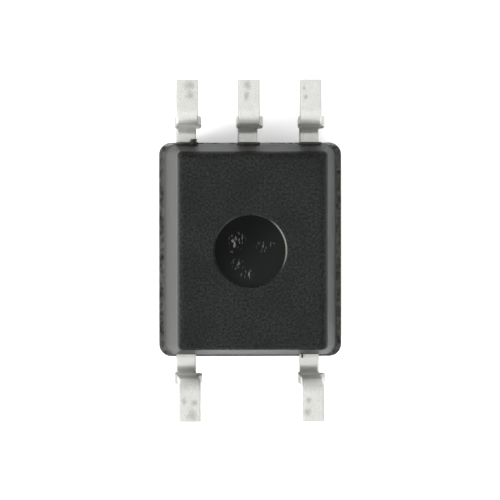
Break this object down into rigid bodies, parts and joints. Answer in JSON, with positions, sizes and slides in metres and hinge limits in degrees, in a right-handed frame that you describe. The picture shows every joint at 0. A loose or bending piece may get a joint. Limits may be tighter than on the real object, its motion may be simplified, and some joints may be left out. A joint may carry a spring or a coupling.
{
  "type": "small-outline optocoupler chip",
  "caption": "Surface-mount optocoupler chip: a black moulded body with a round ejector mark and bent tinned leads in two rows, lying on its back with the soldering feet up.",
  "frame": {"origin": "centre of the part's box on the plane of the marked top, which is the face that it lies on", "axes": "+Z out of the board side, so the soldering feet point up: turn the part half a turn about X to place it on a board; +Y towards the row of three leads; X along the rows of leads"},
  "size_m": [0.0038, 0.007, 0.0026],
  "materials": {
    "black_epoxy": "moulded epoxy, fine matt",
    "white_epoxy": "white filled epoxy, seen nowhere from outside",
    "tinned_lead": "matt tin plate on copper alloy",
    "led_crystal": "sawn crystal",
    "silicon_chip": "polished silicon with metal tracks",
    "silver_glue": "silver-filled epoxy glue",
    "gold_wire": "bright gold",
    "clear_silicone": "clear soft silicone gel"
  },
  "bodies": {
    "root": {"outer_mould": "black_epoxy", "inner_mould": "white_epoxy", "anode_lead": "tinned_lead", "cathode_lead": "tinned_lead", "ground_lead": "tinned_lead", "output_lead": "tinned_lead", "supply_lead": "tinned_lead", "led_chip": "led_crystal", "led_glue": "silver_glue", "led_bond_wire": "gold_wire", "led_silicone_dome": "clear_silicone", "detector_chip": "silicon_chip", "detector_glue": "silver_glue", "supply_bond_wire": "gold_wire", "output_bond_wire": "gold_wire", "ground_bond_wire": "gold_wire"}
  },
  "joints": []
}
